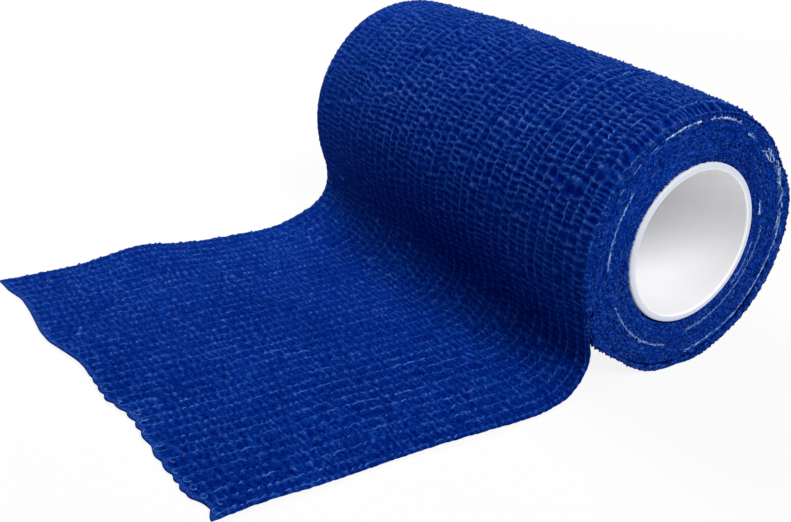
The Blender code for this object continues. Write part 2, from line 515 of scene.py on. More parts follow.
def turn_slack(s, x):
    """How far the outermost turn stands off a true cylinder. Its angle is 90 at the top, 180 in front."""
    angle = 90 + np.degrees(s / PATH_RADIUS)
    far = smooth(-x / HALF_WIDTH)
    over_top = smooth((angle + 5) / 45) * smooth((130 + 35 * far - angle) / (45 + 10 * far))
    bulge = soft_line(x, BULGE_X, BULGE, 8 * MM) * over_top
    swell = np.interp(angle, SWELL_ANGLES, SWELL) * MM * smooth(x / HALF_WIDTH)
    share = np.where(x > 0, np.interp(angle, RIM_ANGLES, RIM_SHARE), FAR_RIM_SHARE)
    rim = np.clip((np.abs(x) - HALF_WIDTH + RIM_ROUND) / RIM_ROUND, 0, 1)
    inner_end = INNER_END_DROP * smooth((-90 - angle) / 50)
    kick = np.interp(angle, KICK_ANGLES, KICK) * (angle < 0) * rise(x, 10, 30)
    return bulge + swell + kick - RIM_DROP * share * rim ** 2 - inner_end


print("slack over the top:", np.round(turn_slack(np.zeros(3), np.array([-18, 0, 20]) * MM) / MM, 2), "mm")

# %% The lie of the tail
HUMP, HUMP_Y, HUMP_WIDTH = 2.0 * MM, -74 * MM, 9.5 * MM
FOOT_SWELL, FOOT_SWELL_Y, FOOT_SWELL_WIDTH = 2.0 * MM, -30 * MM, 6 * MM
RIPPLE = 0.2 * MM
NEAR_EDGE_S = np.array([-48, -30, 0, 50, 58, 66, 71, 77, 83, 90, 98, 104, 110, 118, 126, 134, 143]) * MM
NEAR_EDGE_X = np.array([0, -0.5, -0.4, -0.3, -1.1, -1.6, -0.6, 1.2, 1.5, 1.3, 0.9, 0.3, 0.2, 0.4, 0.5,
                        0.1, 0.6]) * MM
FAR_EDGE_Y = np.array([-106, -84, -79, -66, -58, -40, -34]) * MM
FAR_EDGE_X = np.array([0.1, 0, -0.2, -0.3, -0.6, 0, -0.3]) * MM


def tail_lift(x, y):
    """How far the tail stands off the floor."""
    far = rise(-x, 22, 26)
    hump = HUMP * far * np.exp(-((y - HUMP_Y) / HUMP_WIDTH) ** 2)
    ripple = RIPPLE * (1 + drift(x, y, 17, 13, 21)) * (1 - far)
    swell = FOOT_SWELL * far * np.exp(-((y - FOOT_SWELL_Y) / FOOT_SWELL_WIDTH) ** 2)
    return fall(y, -33, 12) * (hump + ripple) + swell


def sideways(s, x, y):
    """The slow sideways wander of the yarns and edges."""
    slow = 0.4 * MM * drift(s, x, 16, 24, 22) * (0.4 + 0.6 * slackness(s))
    near = soft_line(s, NEAR_EDGE_S, NEAR_EDGE_X, 4 * MM) * rise(x, 25, 25)
    far = soft_line(y, FAR_EDGE_Y, FAR_EDGE_X, 3 * MM) * rise(-x, 25, 25) * slackness(s)
    edge = smooth((np.abs(x) / HALF_WIDTH - 0.96) / 0.04)
    depth = 0.09 * MM + 0.14 * MM * slackness(s) * (x < 0)
    saw = depth * edge * wander(s / (0.7 * MM), np.sign(x) * 9, 23)
    return slow * (1 - 0.7 * edge) + near + far + saw


print(f"the far edge lifts {float(tail_lift(-HALF_WIDTH, HUMP_Y)) / MM:.1f} mm")

# %% A place on the wrap
CLOTH = 0.3 * MM
FACE_OFF_PACK = 0.15 * MM
UNDERSIDE_OFF_PACK = 0.02 * MM
OFF_FLOOR = 0.02 * MM
FREE_OF_PACK = 5 * MM


def on_the_roll(s, x):
    """1 where the strip lies on the roll, 0 from a few millimetres after it has left."""
    left_at = PATH_RADIUS * (math.pi / 2 + bend_at(x)[0])
    return 1 - rise(s - left_at, 0, 6)


def wrap_surface(s, x, underside=False, level=None):
    """Places on the wrap's outer face, its underside or a level above its middle, with their tones."""
    s, x = np.broadcast_arrays(s, x)
    y, z, out_y, out_z = strip_path(s, x)
    height, crest = crinkle(s, x)
    to_cut = np.where(y < HINGE_Y, y - cut_line(x), 1.0)
    uncut = 0.2 + 0.8 * rise(to_cut, 0.4, 1.2)
    crest = crest * uncut + (0.68 - 0.4 * np.exp(-to_cut / (0.12 * MM))) * (1 - uncut)
    height = height * uncut if level is None else level
    off_pack = FACE_OFF_PACK
    if underside:
        off_pack = UNDERSIDE_OFF_PACK
        down_to_pack = PATH_RADIUS - CLOTH - PACK_RADIUS
        height = 0.4 * height - CLOTH - down_to_pack * on_the_roll(s, x)
    height = height + turn_slack(s, x)
    on_pack = PACK_RADIUS - PATH_RADIUS + off_pack
    height = np.maximum(height, on_pack - FREE_OF_PACK * (1 - on_the_roll(s, x)))
    y = y + out_y * height
    z = np.maximum(z + out_z * height + tail_lift(x, y), OFF_FLOOR)
    return np.stack([x + sideways(s, x, y), y, z], axis=-1), crest


top_middle = wrap_surface(np.array([[0.0]]), np.array([[0.0]]))[0]
print("top of the roll at z", round(float(top_middle[0, 0, 2]) / MM, 2), "mm")

# %% [markdown]
# ## Making a sheet
# A sheet is a grid of points, with a line of them on every yarn. The tail shows both of its sides when it
# is lifted, so it gets an underside too, and the grid runs round both like a flattened tube with closed
# ends. The outermost turn shows only its outer face and its rims, so it gets a lip at each rim instead.
# Two values ride along on every point for the material to read: where it is on the strip, and how near a
# crest.

# %% From a grid to a mesh
YARN_STEPS = np.array([0, 0.11, 0.3, 0.5, 0.7, 0.89])


def columns_across():
    """Places across the strip, closer together beside every yarn."""
    between = (YARN_PLACES[:-1, None] + YARN_PITCH * YARN_STEPS[None, :]).ravel()
    edge = np.array([HALF_WIDTH, HALF_WIDTH - SELVEDGE / 2])
    return np.concatenate([-edge, between, YARN_PLACES[-1:], edge[::-1]])


def grid_faces(rows, columns, round_and_round=False):
    """Four-cornered faces between the points of a grid. Its last column can join up with its first."""
    row, column = np.meshgrid(np.arange(rows - 1), np.arange(columns - 1 + round_and_round), indexing="ij")
    following = (column + 1) % columns
    corners = [row * columns + column, (row + 1) * columns + column]
    corners += [(row + 1) * columns + following, row * columns + following]
    return np.stack(corners, axis=-1).reshape(-1, 4)


def set_values(mesh, values):
    """Store named values on the points of a mesh, threes of numbers as vectors."""
    for name, value in values.items():
        vector = value.shape[-1] == 3
        layer = mesh.attributes.new(name, "FLOAT_VECTOR" if vector else "FLOAT", "POINT")
        layer.data.foreach_set("vector" if vector else "value", value.astype(np.float32).ravel())


def new_piece(name, points, faces, material, **values):
    mesh = bpy.data.meshes.new(name)
    mesh.from_pydata(points.reshape(-1, 3).tolist(), [], [list(face) for face in faces])
    set_values(mesh, values)
    mesh.shade_smooth()
    mesh.materials.append(material)
    piece = bpy.data.objects.new(name, mesh)
    scene.collection.objects.link(piece)
    print(f"{name}: {len(mesh.vertices)} points, {len(mesh.polygons)} faces")
    return piece


across = columns_across()[None, :]
print(f"{across.size} points across the strip")

# %% A sheet with lips
LIP_SHARE = np.array([0.3, 0.65, 1.0])
LIP_BACK = np.array([0.03, 0.1, 0.25]) * MM
LIPS = len(LIP_SHARE)
LIP_ROUGH = 0.1 * MM
LIP_RADIUS = PACK_RADIUS + 0.02 * MM


def strip_place(s, x):
    s, x = np.broadcast_arrays(s, x)
    return np.stack([s, x, np.zeros_like(s)], axis=-1)


def lip_from(rim, s, side):
    """Lines of points from a rim in towards the roll's axis, down to the turns inside."""
    arm = np.stack([rim[:, 1], rim[:, 2] - AXIS_HEIGHT], axis=-1)
    rim_radius = np.linalg.norm(arm, axis=-1)
    lip = []
    for order in range(LIPS):
        rough = LIP_ROUGH * wander(np.ravel(s) / (0.5 * MM), order * 3.0 + side, 24)
        shrink = 1 + LIP_SHARE[order] * (LIP_RADIUS / rim_radius - 1)
        x = rim[:, 0] - side * (LIP_BACK[order] + rough)
        lip.append(np.stack([x, arm[:, 0] * shrink, AXIS_HEIGHT + arm[:, 1] * shrink], axis=-1))
    return np.stack(lip, axis=1)


def lipped_sheet(name, s, x, material):
    """One face of the strip, with a lip at each rim."""
    points, crest = wrap_surface(s, x)
    far_lip, near_lip = lip_from(points[:, 0], s, -1), lip_from(points[:, -1], s, 1)
    points = np.concatenate([far_lip[:, ::-1], points, near_lip], axis=1)
    points[..., 2] = np.maximum(points[..., 2], OFF_FLOOR)
    mottle = wander(np.ravel(s)[:, None] / (0.45 * MM), np.arange(2 * LIPS)[None, :] * 3.0, 25)
    lip_crest = np.clip(0.4 + 0.5 * mottle, 0, 1)
    crest = np.concatenate([lip_crest[:, :LIPS], crest, lip_crest[:, LIPS:]], axis=1)
    place = np.pad(strip_place(s, x), ((0, 0), (LIPS, LIPS), (0, 0)), mode="edge")
    place[:, :LIPS, 2] = LIP_SHARE[::-1] * MM
    place[:, -LIPS:, 2] = LIP_SHARE * MM
    return new_piece(name, points, grid_faces(*points.shape[:2]), material, strip_place=place, crest=crest)


print(f"{LIPS} lines of points on a lip, down to {LIP_RADIUS / MM:.2f} mm from the axis")


# %% A sheet with two sides
def both_sides(top, under):
    """Columns of the top from far to near, then those of the underside on the way back."""
    return np.concatenate([top, under[:, ::-1]], axis=1)


def two_sided_sheet(name, s, x, material):
    """Both faces of the strip, with closed ends whose edges stay sharp."""
    top, crest_top = wrap_surface(s, x)
    under, crest_under = wrap_surface(s, x, underside=True)
    points = both_sides(top, under)
    place = both_sides(strip_place(s, x), strip_place(s, x))
    rows, columns = points.shape[:2]
    across_half = np.arange(columns // 2 - 1)
    back_half = columns - 1 - across_half
    first = np.stack([across_half, across_half + 1, back_half - 1, back_half], axis=-1)
    last = (rows - 1) * columns + first[:, ::-1]
    faces = np.concatenate([grid_faces(rows, columns, round_and_round=True), first, last])
    crest = both_sides(crest_top, crest_under)
    sheet = new_piece(name, points, faces, material, strip_place=place, crest=crest)
    ends = np.array([edge.vertices for edge in sheet.data.edges]) // columns
    sharp = ((ends == 0) | (ends == rows - 1)).all(axis=1)
    sheet.data.attributes.new("sharp_edge", "BOOLEAN", "EDGE").data.foreach_set("value", sharp)
    return sheet


# %% [markdown]
# ## The crepe's finish
# Dyed crepe is matt. Its pits are navy, its ridges royal blue, and the finest fibres on the crests are
# paler still. That is partly the web's own colour and partly painted light: the navy of the pits is
# painted shade, and the pale grey of the crests is a painted highlight. The colour follows the crest value
# on the points, broken up by fine noise for fibres and by slow noise for uneven dye. A fine bump adds the
# fibres that are too small to model.

# %% Colours of the crepe
def grey(level):
    return (level, level, level)


# The pit colour is darkened with painted shade, and the crest colour is lightened with a painted
# highlight.
PIT_BLUE_AND_SHADE = (0.0001, 0.004, 0.11)
WEB_BLUE = (0.0007, 0.025, 0.237)
RIDGE_BLUE = (0.016, 0.058, 0.3)
CREST_BLUE_AND_HIGHLIGHT = (0.055, 0.115, 0.385)
CREPE_STOPS = [(0.0, PIT_BLUE_AND_SHADE), (0.4, WEB_BLUE), (0.7, RIDGE_BLUE), (1.0, CREST_BLUE_AND_HIGHLIGHT)]
WEB_FIBRES = [(0.36, (0.4, 0.6, 0.68)), (0.5, grey(1)), (0.64, (1.95, 1.6, 1.38))]
YARN_FIBRES = [(0.4, grey(0.8)), (0.6, grey(1.2))]
UNEVEN_DYE = [(0.35, (1.15, 0.94, 0.97)), (0.65, (0.85, 1.06, 1.03))]
EVEN_DYE = [(0.35, grey(0.9)), (0.65, grey(1.1))]
SLOW_TONE = [(0.35, (0.72, 0.87, 0.93)), (0.65, (1.28, 1.13, 1.07))]
print("crepe from", PIT_BLUE_AND_SHADE, "to", CREST_BLUE_AND_HIGHLIGHT)


# %% Noise, ramps and bump
def noise_on(tree, place, scale, detail=2.0):
    grain = {"Vector": place, "Scale": scale, "Detail": detail}
    return add(tree, "ShaderNodeTexNoise", grain).outputs["Fac"]


def ramp(tree, value, stops):
    """A colour that goes through a few stops as a value goes from 0 to 1."""
    node = add(tree, "ShaderNodeValToRGB", {"Fac": value})
    elements = node.color_ramp.elements
    while len(elements) < len(stops):
        elements.new(0.5)
    for element, (position, colour) in zip(elements, stops):
        element.position = position
        element.color = (*colour, 1)
    return node.outputs["Color"]


def multiply(tree, first, second):
    colours = {0: 1.0, 6: first, 7: second}
    return add(tree, "ShaderNodeMix", colours, data_type="RGBA", blend_type="MULTIPLY").outputs[2]


def point_value(tree, name, output="Fac"):
    return add(tree, "ShaderNodeAttribute", attribute_name=name).outputs[output]


def fine_bump(tree, shader, height, strength, distance):
    bump = add(tree, "ShaderNodeBump", {"Height": height, "Strength": strength, "Distance": distance})
    fill(tree, shader, {"Normal": bump.outputs["Normal"]})


# %% Crepe material
FIBRE_SCALE, DYE_SCALE, TONE_SCALE, BUMP_SCALE = 1900, 260, 45, 4200


def cloth_finish(name, value_name, stops, fibre_stops, dye_stops):
    """A matt cloth whose colour follows a value on the points."""
    material, tree, shader = new_finish(name)
    place = point_value(tree, "strip_place", "Vector")
    colour = ramp(tree, point_value(tree, value_name), stops)
    for scale, tints in ((FIBRE_SCALE, fibre_stops), (DYE_SCALE, dye_stops), (TONE_SCALE, SLOW_TONE)):
        colour = multiply(tree, colour, ramp(tree, noise_on(tree, place, scale), tints))
    fill(tree, shader, {"Base Color": colour, "Roughness": 0.95, "Specular IOR Level": 0.01})
    fine_bump(tree, shader, noise_on(tree, place, BUMP_SCALE), 0.5, 0.06 * MM)
    return material


crepe = cloth_finish("blue_crepe", "crest", CREPE_STOPS, WEB_FIBRES, UNEVEN_DYE)
print("finish:", crepe.name)

# %% [markdown]
# ## The wrap itself
# The strip is one piece of cloth, but it is cut here into four sheets that meet edge to edge. Two make
# the turn round the roll, so that neither gets too heavy. The front with the bend goes from there to the
# lifted tail, and the tail itself stretches towards its cut end.

# %% The sheets of the wrap
ROW_STEP = 0.27 * MM
BACK_ROW_STEP = 0.36 * MM
INNER_END = -PATH_RADIUS * math.radians(248)
BACK_SPLIT = -PATH_RADIUS * math.radians(80)
FRONT_SPLIT = PATH_RADIUS * math.radians(78)
TAIL_SPLIT_Y = HINGE_Y - 14 * MM


def rows_between(start, end, step=ROW_STEP):
    """Distances along the strip, from one line across it to another."""
    start, end = np.broadcast_arrays(start, end)
    count = int(np.ceil(np.max(end - start) / step)) + 1
    return start + (end - start) * np.linspace(0, 1, count)[:, None]


def tail_split(x):
    return along_at(x, TAIL_SPLIT_Y)


def tail_cut(x):
    return along_at(x, cut_line(x))


back_rows = rows_between(INNER_END, BACK_SPLIT, BACK_ROW_STEP)
back_sheet = lipped_sheet("back_turn_crepe", back_rows, across, crepe)
turn_rows = rows_between(BACK_SPLIT, FRONT_SPLIT)
turn_sheet = lipped_sheet("top_turn_crepe", turn_rows, across, crepe)
front_rows = rows_between(FRONT_SPLIT, tail_split(across))
front_sheet = two_sided_sheet("front_crepe", front_rows, across, crepe)
tail_rows = rows_between(tail_split(across), tail_cut(across))
tail_sheet = two_sided_sheet("tail_crepe", tail_rows, across, crepe)

# %% [markdown]
# ## Yarns
# The elastic yarns show as rows of short pale dashes, one where each ridge of the web lifts a yarn to the
# top. A node tree turns plain polylines into round yarns, so each dash only needs the short line that it
# follows. At the cut each yarn has sprung back in a small hook.

# %% Trees that make geometry
def new_tree(name, inputs, output):
    """An empty tree with named inputs and one output, and what its inputs give."""
    tree = bpy.data.node_groups.new(name, "GeometryNodeTree")
    for socket, kind in inputs.items():
        tree.interface.new_socket(socket, in_out="INPUT", socket_type="NodeSocket" + kind)
    tree.interface.new_socket(output, in_out="OUTPUT", socket_type="NodeSocketGeometry")
    return tree, add(tree, "NodeGroupInput").outputs


def end_tree(tree, shape, finish):
    """Every tree ends alike: its instances are made real, and the result gets its finish."""
    real = add(tree, "GeometryNodeRealizeInstances", {"Geometry": shape}).outputs["Geometry"]
    finished = add(tree, "GeometryNodeSetMaterial", {"Geometry": real, "Material": finish}).outputs[0]
    add(tree, "NodeGroupOutput", {0: finished})
    return tree


def run_tree(piece, tree, **inputs):
    """Run a node tree on a piece and keep the plain mesh that comes out."""
    modifier = piece.modifiers.new(tree.name, "NODES")
    modifier.node_group = tree
    for item in tree.interface.items_tree:
        if item.in_out == "INPUT" and item.name in inputs:
            modifier[item.identifier] = inputs[item.name]
    depsgraph = bpy.context.evaluated_depsgraph_get()
    made = bpy.data.meshes.new_from_object(piece.evaluated_get(depsgraph), depsgraph=depsgraph)
    piece.modifiers.clear()
    piece.data = made
    made.shade_smooth()
    print(f"{piece.name}: {len(made.vertices)} points, {len(made.polygons)} faces")
    return piece


# %% Yarns from lines
def yarn_tree():
    """A node tree that sweeps a round section along every line of a mesh."""
    sizes = {"Lines": "Geometry", "Radius": "Float", "Sides": "Int", "Finish": "Material"}
    tree, given = new_tree("yarns_from_lines", sizes, "Yarns")
    line = add(tree, "GeometryNodeMeshToCurve", {"Mesh": given["Lines"]}).outputs["Curve"]
    thick = add(tree, "GeometryNodeInputNamedAttribute", {"Name": "thick"}, data_type="FLOAT").outputs[0]
    circle = {"Resolution": given["Sides"], "Radius": given["Radius"]}
    section = add(tree, "GeometryNodeCurvePrimitiveCircle", circle).outputs["Curve"]
    swept = {"Curve": line, "Profile Curve": section, "Scale": thick, "Fill Caps": True}
    return end_tree(tree, add(tree, "GeometryNodeCurveToMesh", swept).outputs["Mesh"], given["Finish"])


yarns_from_lines = yarn_tree()


def sweep_lines(name, lines, radius, sides, material):
    """Yarns along polylines. Each line is (points, thick, pale)."""
    points, thick, pale = (np.concatenate(values) for values in zip(*lines))
    line_number = np.repeat(np.arange(len(lines)), [len(line[0]) for line in lines])
    start = np.flatnonzero(line_number[:-1] == line_number[1:])
    mesh = bpy.data.meshes.new(name)
    mesh.from_pydata(points.tolist(), np.stack([start, start + 1], axis=-1).tolist(), [])
    set_values(mesh, {"thick": thick, "pale": pale, "strip_place": points})
    piece = bpy.data.objects.new(name, mesh)
    scene.collection.objects.link(piece)
    return run_tree(piece, yarns_from_lines, Radius=radius, Sides=sides, Finish=material)


print("tree:", yarns_from_lines.name, "with", len(yarns_from_lines.nodes), "nodes")

# %% Dashes where ridges cross a yarn
YARN_RADIUS = 0.13 * MM
YARN_SIDES = 4
DASH_POINTS = 5
DASH_INSET = 0.4 * MM
CROSSING_STEP = 0.1 * MM
LONG_DASH = 0.92
SLANT = 0.22 * MM


def ridge_crossings(index, start, end):
    """Where the ridges of the web cross one yarn, between two places along the strip."""
    s = np.arange(start + DASH_INSET, end - DASH_INSET, CROSSING_STEP)
    ridge_number = np.floor(ridge_phase(s, YARN_PLACES[index] + DASH_INSET) - 0.5)
    return s[1:][np.diff(ridge_number) != 0]


def dash_tone(s, x, near):
    """How pale a dash is before chance has its say: less just past the bend, less in the valley as painted
    shade, and less on the far part of the roll as part of its painted sheen.
    """
    zone = 0.65 + 0.45 * drift(s, x, 9, 8, 43)
    near_edge = 0.3 * near + 0.2 * rise(x, 42, 6) * slackness(s)
    past_bend = rise(s, 58, 8) * fall(s, 95, 15)
    # Painted shade in the valley and painted sheen on the far part of the roll dim the dashes.
    painted_dimming = (1 - 0.9 * in_valley(s)) * (1 - 0.4 * far_roll(s, x))
    return (zone + near_edge) * (painted_dimming * (1 - 0.2 * slackness(s)) * (1 - 0.4 * past_bend))


def yarn_dashes(start, end, seed):
    """A short dash at every crossing, as (places, thick, pale)."""
    starts, ends = np.broadcast_to(start, YARNS), np.broadcast_to(end, YARNS)
    found = [ridge_crossings(index, starts[index], ends[index]) for index in range(YARNS)]
    index = np.repeat(np.arange(YARNS), [len(crossings) for crossings in found])[:, None]
    middle = np.concatenate(found)[:, None]
    chance = np.random.default_rng(seed)
    one_each = (len(middle), 1)
    slack, near = slackness(middle), near_tail(middle, YARN_PLACES[index])
    long_share = 0.25 - 0.17 * slack + 0.08 * near
    short = 0.42 - 0.1 * slack + 0.08 * near
    half = np.where(chance.uniform(0, 1, one_each) < long_share, LONG_DASH, short)
    half = half * chance.uniform(0.7, 1.3, one_each) * MM
    half = np.minimum(half, np.minimum(middle - starts[index], ends[index] - middle))
    t = np.linspace(-1, 1, DASH_POINTS)[None, :]
    s = middle + half * t
    slant = SLANT * (chance.uniform(-1, 1, one_each) + 0.6 * near)
    x = YARN_PLACES[index] + yarn_stray(s, index) + slant * t
    level = crinkle(s, x)[0] + YARN_RADIUS * (0.8 - 1.4 * t ** 2)
    places = wrap_surface(s, x, level=level)[0]
    thick = chance.uniform(0.8, 1.2, one_each) * (1 - 0.5 * np.abs(t) ** 3)
    thick = thick * (1 + 0.5 * slackness(s) - 0.35 * near)
    pale = np.clip(dash_tone(s, x, near) * chance.uniform(0.3, 1, one_each), 0, 1)
    kept = chance.uniform(0, 1, len(middle)) > (0.3 * (slack - near))[:, 0]
    return list(zip(places[kept], thick[kept], pale[kept]))


turn_dashes = yarn_dashes(INNER_END, FRONT_SPLIT, 46)
front_dashes = yarn_dashes(FRONT_SPLIT, tail_split(YARN_PLACES), 47)
tail_dashes = yarn_dashes(tail_split(YARN_PLACES), tail_cut(YARN_PLACES), 48)
print("dashes on turn, front and tail:", [len(d) for d in (turn_dashes, front_dashes, tail_dashes)])

# %% Hooks at the cut
hook_chance = np.random.default_rng(45)
near_share = rise(YARN_PLACES, -25, 50)
HOOK_BACK = hook_chance.uniform(1.0, 2.2, YARNS) * MM
HOOK_RADIUS = (hook_chance.uniform(0.3, 0.6, YARNS) + 0.25 * near_share) * MM
HOOK_TURN = 60 + 180 * near_share * hook_chance.uniform(0.5, 1.1, YARNS)
HOOK_SIDE = np.where(hook_chance.uniform(0, 1, YARNS) < 0.75, 1, -1)
HOOK_POINTS = 9
HOOK_SHANK = np.array([-1.4, -0.7]) * MM
HOOK_THICK = 0.95


def yarn_hooks():
    """The cut end of every yarn, sprung back in a hook."""
    lines = []
    for index, bend in enumerate(tail_cut(YARN_PLACES) - HOOK_BACK):
        curl = np.radians(np.linspace(0, HOOK_TURN[index], HOOK_POINTS))
        s = bend + np.concatenate([HOOK_SHANK, HOOK_RADIUS[index] * np.sin(curl)])
        aside = HOOK_SIDE[index] * HOOK_RADIUS[index] * (1 - np.cos(curl))
        x = YARN_PLACES[index] + yarn_stray(bend, float(index)) + np.concatenate([[0, 0], aside])
        level = np.linspace(0.05, 0.2, len(s)) * MM
        places = wrap_surface(s[:, None], x[:, None], level=level[:, None])[0][:, 0]
        pale = np.linspace(0.4, 0.7 + 0.3 * near_share[index], len(s))
        lines.append((places, np.full(len(s), HOOK_THICK), pale))
    return lines


print(f"hooks turn by {HOOK_TURN.min():.0f} to {HOOK_TURN.max():.0f} degrees")

# %% The yarns of each sheet
YARN_STOPS = [(0.0, (0.003, 0.04, 0.28)), (0.5, (0.014, 0.08, 0.37)), (1.0, (0.07, 0.19, 0.58))]
yarn_finish = cloth_finish("pale_yarn", "pale", YARN_STOPS, YARN_FIBRES, EVEN_DYE)
turn_yarns = sweep_lines("top_turn_yarns", turn_dashes, YARN_RADIUS, YARN_SIDES, yarn_finish)
front_yarns = sweep_lines("front_yarns", front_dashes, YARN_RADIUS, YARN_SIDES, yarn_finish)
tail_yarns = sweep_lines("tail_yarns", tail_dashes + yarn_hooks(), YARN_RADIUS, YARN_SIDES, yarn_finish)

# %% [markdown]
# ## The wound turns
# Under the outermost turn the strip goes on, turn upon turn, down to the core. Its edges show on the two
# ends of the roll. It is one strip in a flat spiral, with a rounded rim at each edge. No two turns lie
# quite level, and the crinkles make the rims uneven. When the core is pushed out, the inner face of the
# innermost turn shows too, so a lining with the full net of crinkles goes there.

# %% The spiral
TURNS = 16
PACK_INNER = CORE_RADIUS + 0.45 * MM
PACK_OUTER = PACK_RADIUS - 0.1 * MM
TURN_PITCH = (PACK_OUTER - PACK_INNER) / TURNS
RIM_STEP = 0.34 * MM


def spiral_radius(angle):
    return PACK_INNER + TURN_PITCH * angle / (2 * math.pi)


def spiral_angles(step):
    """Angles at even steps along the spiral, and how far along it they are."""
    fine = np.linspace(0, 2 * math.pi * TURNS, 20001)
    length = np.concatenate([[0], np.cumsum(np.diff(fine) * spiral_radius(fine[1:]))])
    even = np.arange(0, length[-1], step)
    return np.interp(even, length, fine), even


def round_axis(x, radius, angle):
    """Places x along the roll's axis, a radius away from it, at an angle round it."""
    x, radius, angle = np.broadcast_arrays(x, radius, angle)
    return np.stack([x, radius * np.cos(angle), AXIS_HEIGHT + radius * np.sin(angle)], axis=-1)


pack_angle, pack_along = spiral_angles(RIM_STEP)
print(f"{TURNS} turns {TURN_PITCH / MM:.2f} mm apart take {pack_along[-1]:.2f} m of strip")

# %% The rims of the turns
HALF_RIM = 1.3 * TURN_PITCH / 2
# Each entry gives how far back from the rim's edge, which wall, and a tone; the tone is low at the back,
# where it paints shade into the grooves between the turns.
RIM_SECTION = [(1.1, -1, 0.1), (0.22, -1, 0.3), (0.0, 0, 0.45), (0.22, 1, 0.3), (1.1, 1, 0.1)]
INNER_WALL, OUTER_WALL = [0, 9], slice(3, 7)
OFF_NEIGHBOUR = 0.03 * MM
INNER_WALL_RADIUS = CORE_RADIUS + 0.2 * MM


def end_level(radius):
    """How far from the middle of the roll its ends stand: a little further in near the outside."""
    return HALF_WIDTH - 0.2 * MM - 0.2 * MM * rise(radius, 22.5, 4)


def rim_reach(angle, along, side):
    """How far from the middle of the roll the strip's edge stands."""
    turn_index = np.floor(angle / (2 * math.pi))
    uneven = 0.2 * MM * wander(angle * 1.5, turn_index * 7.0, 31 + side)
    grain = 0.2 * MM * wander(along / (0.6 * MM), 11.0, 33 + side)
    return end_level(spiral_radius(angle)) + uneven + grain


pack_middle = spiral_radius(pack_angle) + 0.22 * MM * wander(pack_along / (0.65 * MM), 5.0, 35)
rim_columns = []
for side in (1, -1):
    reach = rim_reach(pack_angle, pack_along, side)
    for back, wall, tone in RIM_SECTION[::side]:
        rim_columns.append((side * (reach - back * MM), pack_middle + wall * HALF_RIM, tone))
pack_x = np.stack([column[0] for column in rim_columns], axis=1)
pack_r = np.stack([column[1] for column in rim_columns], axis=1)
pack_r = np.clip(pack_r, CORE_RADIUS + OFF_NEIGHBOUR, PACK_RADIUS - OFF_NEIGHBOUR)
pack_r[:, INNER_WALL] = np.maximum(pack_r[:, INNER_WALL], INNER_WALL_RADIUS)
pack_r[pack_angle > 2 * math.pi * (TURNS - 1), OUTER_WALL] = PACK_RADIUS - OFF_NEIGHBOUR
pack_points = round_axis(pack_x, pack_r, pack_angle[:, None])
one_ring = np.arange(len(rim_columns))
mottle = wander(pack_along[:, None] / (0.5 * MM), one_ring[None, :] * 3.0, 36)
pack_crest = np.clip(np.array([column[2] for column in rim_columns])[None, :] + 0.35 * mottle, 0, 1)
pack_place = np.stack([np.broadcast_to(pack_along[:, None], pack_x.shape), pack_r, pack_x], axis=-1)
pack_faces = grid_faces(*pack_x.shape, round_and_round=True)[:, ::-1]
pack_ends = [one_ring[::-1], (len(pack_x) - 1) * len(one_ring) + one_ring]
print(f"rims from {pack_r.min() / MM:.2f} to {pack_r.max() / MM:.2f} mm from the axis")

# %% The lining, and the whole pack
LINING_ROWS, LINING_COLUMNS = 240, 101
LINING_HALF = HALF_WIDTH - 1.6 * MM
LINING_START = -0.13
LINING_OFF_CORE = 0.12 * MM
LINING_FLARE = 0.4 * MM

lining_x = np.linspace(-LINING_HALF, LINING_HALF, LINING_COLUMNS)[None, :]
lining_angle = np.linspace(0, 2 * math.pi, LINING_ROWS, endpoint=False)[:, None]
lining_s = LINING_START + lining_angle * CORE_RADIUS
lining_height, lining_crest = crinkle(lining_s, lining_x)
lining_r = CORE_RADIUS + LINING_OFF_CORE - 0.2 * lining_height
lining_r[:, [0, -1]] += LINING_FLARE
lining_points = round_axis(lining_x, lining_r, lining_angle)
lining_place = strip_place(lining_s, lining_x)
lining_faces = grid_faces(LINING_ROWS + 1, LINING_COLUMNS)[:, ::-1] % lining_r.size + pack_x.size
pack = new_piece(
    "wound_turns_crepe", np.concatenate([pack_points.reshape(-1, 3), lining_points.reshape(-1, 3)]),
    [*pack_faces, *pack_ends, *lining_faces], crepe,
    strip_place=np.concatenate([pack_place.reshape(-1, 3), lining_place.reshape(-1, 3)]),
    crest=np.concatenate([pack_crest.ravel(), lining_crest.ravel()]))

# %% [markdown]
# ## Tufts on the ends
# Where the web was slit to width its fibres stand up in tiny tufts, so that the ends of the roll look
# grainy and the single turns can hardly be told apart. A node tree scatters them over a flat ring at each
# end and over the rims of the outermost turn.

# %% Tufts on a surface
FULL_TURN = (6.28, 6.28, 6.28)
TUFT_SIZES = {"Per square metre": 1.1e7, "Smallest": 0.08 * MM, "Largest": 0.26 * MM}


def random_vector(tree, low, high, seed):
    limits = {0: low, 1: high, "Seed": seed}
    return add(tree, "FunctionNodeRandomValue", limits, data_type="FLOAT_VECTOR").outputs[0]


def keep_value(tree, shape, name, value, **kind):
    """Store a value under a name, for the finish to read."""
    kept = {"Geometry": shape, "Name": name, "Value": value}
    return add(tree, "GeometryNodeStoreNamedAttribute", kept, **kind).outputs["Geometry"]


